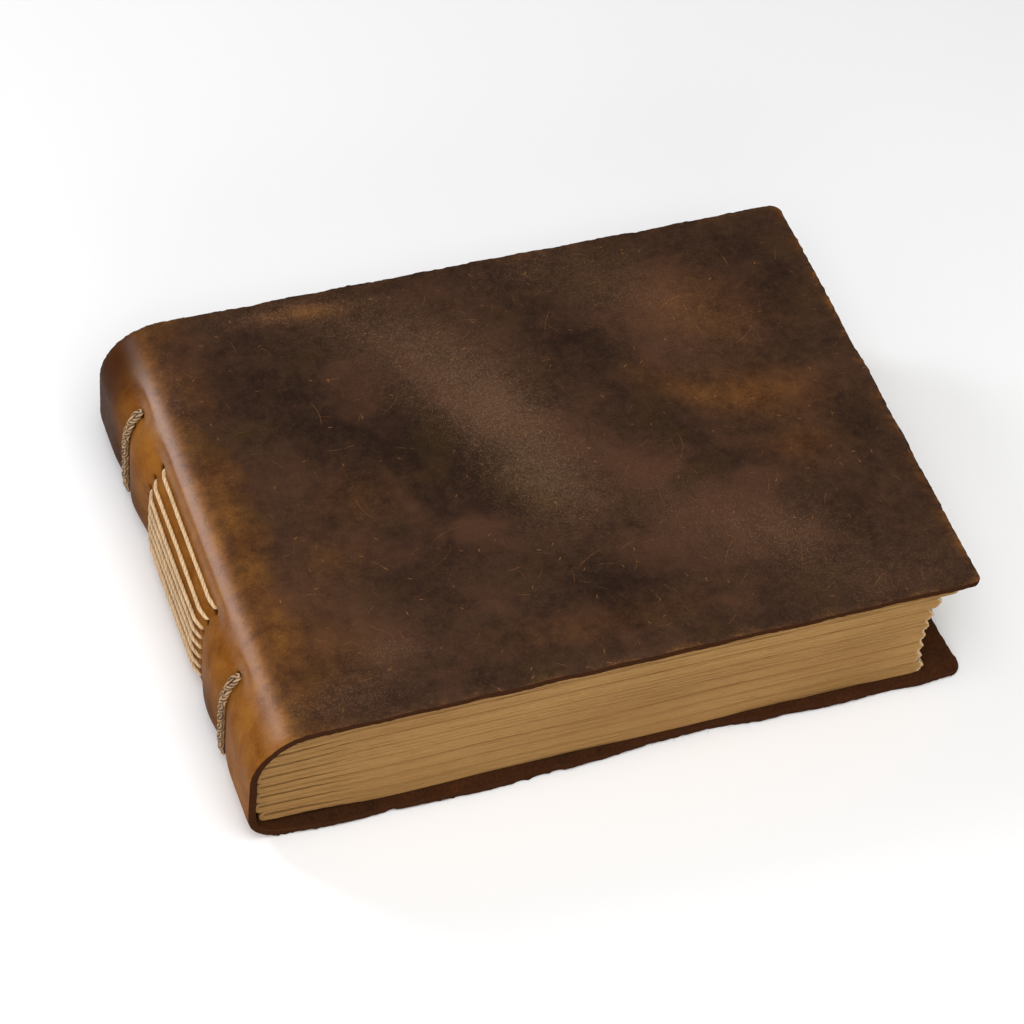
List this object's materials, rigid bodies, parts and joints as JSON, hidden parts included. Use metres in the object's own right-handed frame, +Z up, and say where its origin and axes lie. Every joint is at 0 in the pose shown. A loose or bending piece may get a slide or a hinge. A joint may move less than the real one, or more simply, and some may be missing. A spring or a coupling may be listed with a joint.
{
  "type": "scrapbook album",
  "caption": "Landscape handmade scrapbook album: thick wraparound hide cover, sewn gatherings of folded paper, long stitches and linked stitches on the spine.",
  "frame": {"origin": "middle of the album's footprint, on the surface it rests on", "axes": "+X from the spine to the fore edge, +Y from tail to head, +Z up through the closed album from back cover to front cover"},
  "size_m": [0.3058, 0.218, 0.062],
  "materials": {
    "leather": "waxed, distressed brown hide, matt with a soft sheen",
    "paper": "uncoated ochre handmade paper",
    "thread": "waxed twisted linen cord"
  },
  "bodies": {
    "gathering_8_body": {"spine_strip_8": "leather", "gathering_8": "paper", "sewing_thread_8": "thread", "head_link_8": "thread", "tail_link_8": "thread"},
    "gathering_7_body": {"spine_strip_7": "leather", "gathering_7": "paper", "sewing_thread_7": "thread", "head_link_7": "thread", "tail_link_7": "thread"},
    "gathering_6_body": {"spine_strip_6": "leather", "gathering_6": "paper", "sewing_thread_6": "thread", "head_link_6": "thread", "tail_link_6": "thread"},
    "gathering_5_body": {"spine_strip_5": "leather", "gathering_5": "paper", "sewing_thread_5": "thread", "head_link_5": "thread", "tail_link_5": "thread"},
    "gathering_4_body": {"spine_strip_4": "leather", "gathering_4": "paper", "sewing_thread_4": "thread", "head_link_4": "thread", "tail_link_4": "thread"},
    "gathering_3_body": {"spine_strip_3": "leather", "gathering_3": "paper", "sewing_thread_3": "thread", "head_link_3": "thread", "tail_link_3": "thread"},
    "gathering_2_body": {"spine_strip_2": "leather", "gathering_2": "paper", "sewing_thread_2": "thread", "head_link_2": "thread", "tail_link_2": "thread"},
    "gathering_1_body": {"spine_strip_1": "leather", "gathering_1": "paper", "sewing_thread_1": "thread", "head_link_1": "thread", "tail_link_1": "thread"},
    "front_shoulder_body": {"front_shoulder": "leather"},
    "front_cover_body": {"front_cover": "leather"},
    "back_cover_body": {"back_cover": "leather"}
  },
  "joints": [
    {"name": "front_cover_opening", "type": "hinge", "parent": "gathering_1_body", "child": "front_shoulder_body", "pos_m": [-0.13941, 0, 0.0589], "axis": [0, -1, 0], "range_deg": [0, 154]},
    {"name": "front_cover_fold", "type": "hinge", "parent": "front_shoulder_body", "child": "front_cover_body", "pos_m": [-0.1211, 0, 0.062], "axis": [0, -1, 0], "range_deg": [0, 37]},
    {"name": "back_cover_opening", "type": "hinge", "parent": "gathering_8_body", "child": "back_cover_body", "pos_m": [-0.14722, 0, 0.00349], "axis": [0, 1, 0], "range_deg": [0, 179.5]},
    {"name": "opening_1_2", "type": "hinge", "parent": "gathering_2_body", "child": "gathering_1_body", "pos_m": [-0.14726, 0, 0.0496], "axis": [0, 1, 0], "range_deg": [-25.7, 0]},
    {"name": "opening_2_3", "type": "hinge", "parent": "gathering_3_body", "child": "gathering_2_body", "pos_m": [-0.15002, 0, 0.0434], "axis": [0, 1, 0], "range_deg": [-25.7, 0]},
    {"name": "opening_3_4", "type": "hinge", "parent": "gathering_4_body", "child": "gathering_3_body", "pos_m": [-0.15107, 0, 0.0372], "axis": [0, 1, 0], "range_deg": [-25.7, 0]},
    {"name": "opening_4_5", "type": "hinge", "parent": "gathering_5_body", "child": "gathering_4_body", "pos_m": [-0.1511, 0, 0.031], "axis": [0, 1, 0], "range_deg": [-25.7, 0]},
    {"name": "opening_5_6", "type": "hinge", "parent": "gathering_6_body", "child": "gathering_5_body", "pos_m": [-0.1511, 0, 0.0248], "axis": [0, 1, 0], "range_deg": [-25.7, 0]},
    {"name": "opening_6_7", "type": "hinge", "parent": "gathering_7_body", "child": "gathering_6_body", "pos_m": [-0.1511, 0, 0.0186], "axis": [0, 1, 0], "range_deg": [-25.7, 0]},
    {"name": "opening_7_8", "type": "hinge", "parent": "gathering_8_body", "child": "gathering_7_body", "pos_m": [-0.15087, 0, 0.0124], "axis": [0, 1, 0], "range_deg": [-25.7, 0]}
  ],
  "couplings": [
    {"joint": "front_cover_fold", "follows": "front_cover_opening", "ratio": 0.24026}
  ]
}
